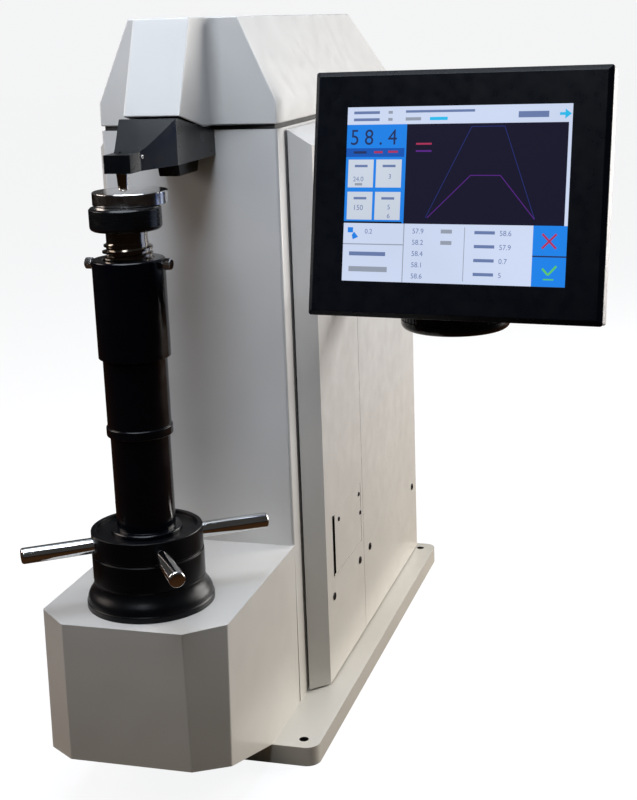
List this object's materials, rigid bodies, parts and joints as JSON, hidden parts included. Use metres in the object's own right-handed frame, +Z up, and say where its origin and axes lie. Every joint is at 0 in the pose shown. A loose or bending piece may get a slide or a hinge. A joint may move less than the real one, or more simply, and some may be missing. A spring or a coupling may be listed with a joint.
{
  "type": "hardness tester",
  "caption": "Bench hardness tester: cast frame with deep throat, handwheel-raised screw with telescopic guard tubes and anvil, motor-driven loading lever, and a swivelling touch screen.",
  "frame": {"origin": "middle of the four base bolt holes, on the underside of the base", "axes": "+Z up, front of the machine towards -Y, +X to the operator's right"},
  "size_m": [0.5137, 0.6986, 0.6786],
  "materials": {
    "body_paint": "semi-gloss light grey enamel",
    "black_enamel": "semi-gloss black enamel",
    "black_steel": "blackened, oiled steel",
    "chrome": "bright chrome plate",
    "polished_steel": "polished",
    "screw_steel": "ground steel",
    "fastener_steel": "black oxide",
    "cast_iron": "machined iron",
    "bronze": "bronze",
    "machined_aluminium": "machined",
    "rubber": "matt black",
    "diamond": "clear",
    "lamp_glass": "frosted",
    "screen_glass": "gloss",
    "black_plastic": "semi-gloss black",
    "light_plastic": "light grey",
    "lcd": "screen picture",
    "circuit_board": "green laminate",
    "power_case": "folded sheet"
  },
  "bodies": {
    "frame": {"access_door": "body_paint", "ball_bearings": "screw_steel", "base_plate": "body_paint", "bearing_blocks": "cast_iron", "bearing_skirt": "black_enamel", "column": "body_paint", "control_board": "circuit_board", "cover_screws": "fastener_steel", "display_arm": "black_enamel", "drive_plate": "machined_aluminium", "guide_bush": "bronze", "guide_rod": "polished_steel", "hood": "body_paint", "hood_seal": "rubber", "lamp_housing": "black_enamel", "lamp_lens": "lamp_glass", "left_front_cover": "body_paint", "left_rear_cover": "body_paint", "lower_race": "screw_steel", "motor": "machined_aluminium", "pedestal": "body_paint", "power_supply": "power_case", "rear_panel": "body_paint", "rear_sockets": "black_plastic", "right_front_cover": "body_paint", "right_rear_cover": "body_paint", "screw_key": "screw_steel", "snout": "black_enamel", "spindle_guide": "polished_steel", "timing_belt": "rubber"},
    "handwheel": {"handwheel_hub": "black_enamel", "handwheel_rods": "chrome", "elevating_nut": "bronze", "upper_race": "screw_steel", "thrust_balls": "screw_steel", "lower_guard_tube": "black_enamel"},
    "elevating_screw": {"elevating_screw": "screw_steel", "anvil": "black_steel", "upper_guard_tube": "black_enamel"},
    "middle_tube": {"middle_guard_tube": "black_enamel"},
    "thumb_screw_right": {"thumb_screw_right": "chrome"},
    "thumb_screw_left": {"thumb_screw_left": "chrome"},
    "test_block": {"test_block": "polished_steel"},
    "spindle": {"spindle": "polished_steel", "indenter_holder": "polished_steel", "diamond_cone": "diamond"},
    "lever": {"loading_lever": "cast_iron", "lever_shaft": "polished_steel"},
    "ball_nut": {"ball_nut": "screw_steel", "load_cell": "machined_aluminium"},
    "ball_screw": {"ball_screw": "polished_steel"},
    "motor_rotor": {"motor_shaft": "screw_steel"},
    "swivel": {"swivel_head": "black_enamel", "tilt_pin": "polished_steel"},
    "display": {"display_shell": "light_plastic", "display_bezel": "black_plastic", "touch_glass": "screen_glass", "lcd_panel": "lcd", "tilt_bracket": "black_enamel"},
    "power_rocker": {"power_switch": "black_plastic"}
  },
  "joints": [
    {"name": "handwheel_spin", "type": "hinge", "parent": "frame", "child": "handwheel", "pos_m": [0, -0.333, 0.2405], "axis": [0, 0, 1], "range_deg": [-9360, 0]},
    {"name": "screw_lift", "type": "slide", "parent": "frame", "child": "elevating_screw", "axis": [0, 0, 1], "range_m": [-0.1301, 0]},
    {"name": "middle_tube_slide", "type": "slide", "parent": "frame", "child": "middle_tube", "axis": [0, 0, 1], "range_m": [-0.0821, 0]},
    {"name": "thumb_screw_right_turn", "type": "hinge", "parent": "elevating_screw", "child": "thumb_screw_right", "pos_m": [0.035, -0.333, 0.482], "axis": [1, 0, 0], "range_deg": [-720, 0]},
    {"name": "thumb_screw_left_turn", "type": "hinge", "parent": "elevating_screw", "child": "thumb_screw_left", "pos_m": [-0.035, -0.333, 0.482], "axis": [-1, 0, 0], "range_deg": [-720, 0]},
    {"name": "test_block_turn", "type": "hinge", "parent": "elevating_screw", "child": "test_block", "pos_m": [-0.002, -0.316, 0.535], "axis": [0, 0, 1], "continuous": true},
    {"name": "motor_spin", "type": "hinge", "parent": "frame", "child": "motor_rotor", "pos_m": [0, 0.012, 0.387], "axis": [0, 0, 1], "range_deg": [0, 297]},
    {"name": "ball_screw_spin", "type": "hinge", "parent": "frame", "child": "ball_screw", "pos_m": [0, 0.097, 0.387], "axis": [0, 0, 1], "range_deg": [0, 150]},
    {"name": "ball_nut_slide", "type": "slide", "parent": "frame", "child": "ball_nut", "axis": [0, 0, 1], "range_m": [-0.0017, 0]},
    {"name": "lever_tilt", "type": "hinge", "parent": "frame", "child": "lever", "pos_m": [0, -0.128, 0.612], "axis": [1, 0, 0], "range_deg": [-0.43, 0]},
    {"name": "spindle_slide", "type": "slide", "parent": "frame", "child": "spindle", "axis": [0, 0, 1], "range_m": [0, 0.0016]},
    {"name": "display_swivel", "type": "hinge", "parent": "frame", "child": "swivel", "pos_m": [0.236, -0.132, 0.4049], "axis": [0, 0, 1], "range_deg": [-15, 90]},
    {"name": "display_tilt", "type": "hinge", "parent": "swivel", "child": "display", "pos_m": [0.236, -0.138, 0.456], "axis": [0.9898, -0.1428, 0], "range_deg": [-15, 11]},
    {"name": "power_switch_rock", "type": "hinge", "parent": "frame", "child": "power_rocker", "pos_m": [-0.005, 0.2605, 0.07], "axis": [1, 0, 0], "range_deg": [-16, 0]}
  ],
  "couplings": [
    {"joint": "screw_lift", "follows": "handwheel_spin", "m_per_rad": 0.00079577},
    {"joint": "middle_tube_slide", "follows": "handwheel_spin", "m_per_rad": 0.00050195},
    {"joint": "ball_screw_spin", "follows": "motor_spin", "ratio": 0.5},
    {"joint": "ball_nut_slide", "follows": "motor_spin", "m_per_rad": -0.00031831},
    {"joint": "lever_tilt", "follows": "motor_spin", "ratio": -0.0014147},
    {"joint": "spindle_slide", "follows": "motor_spin", "m_per_rad": 0.00029002}
  ]
}
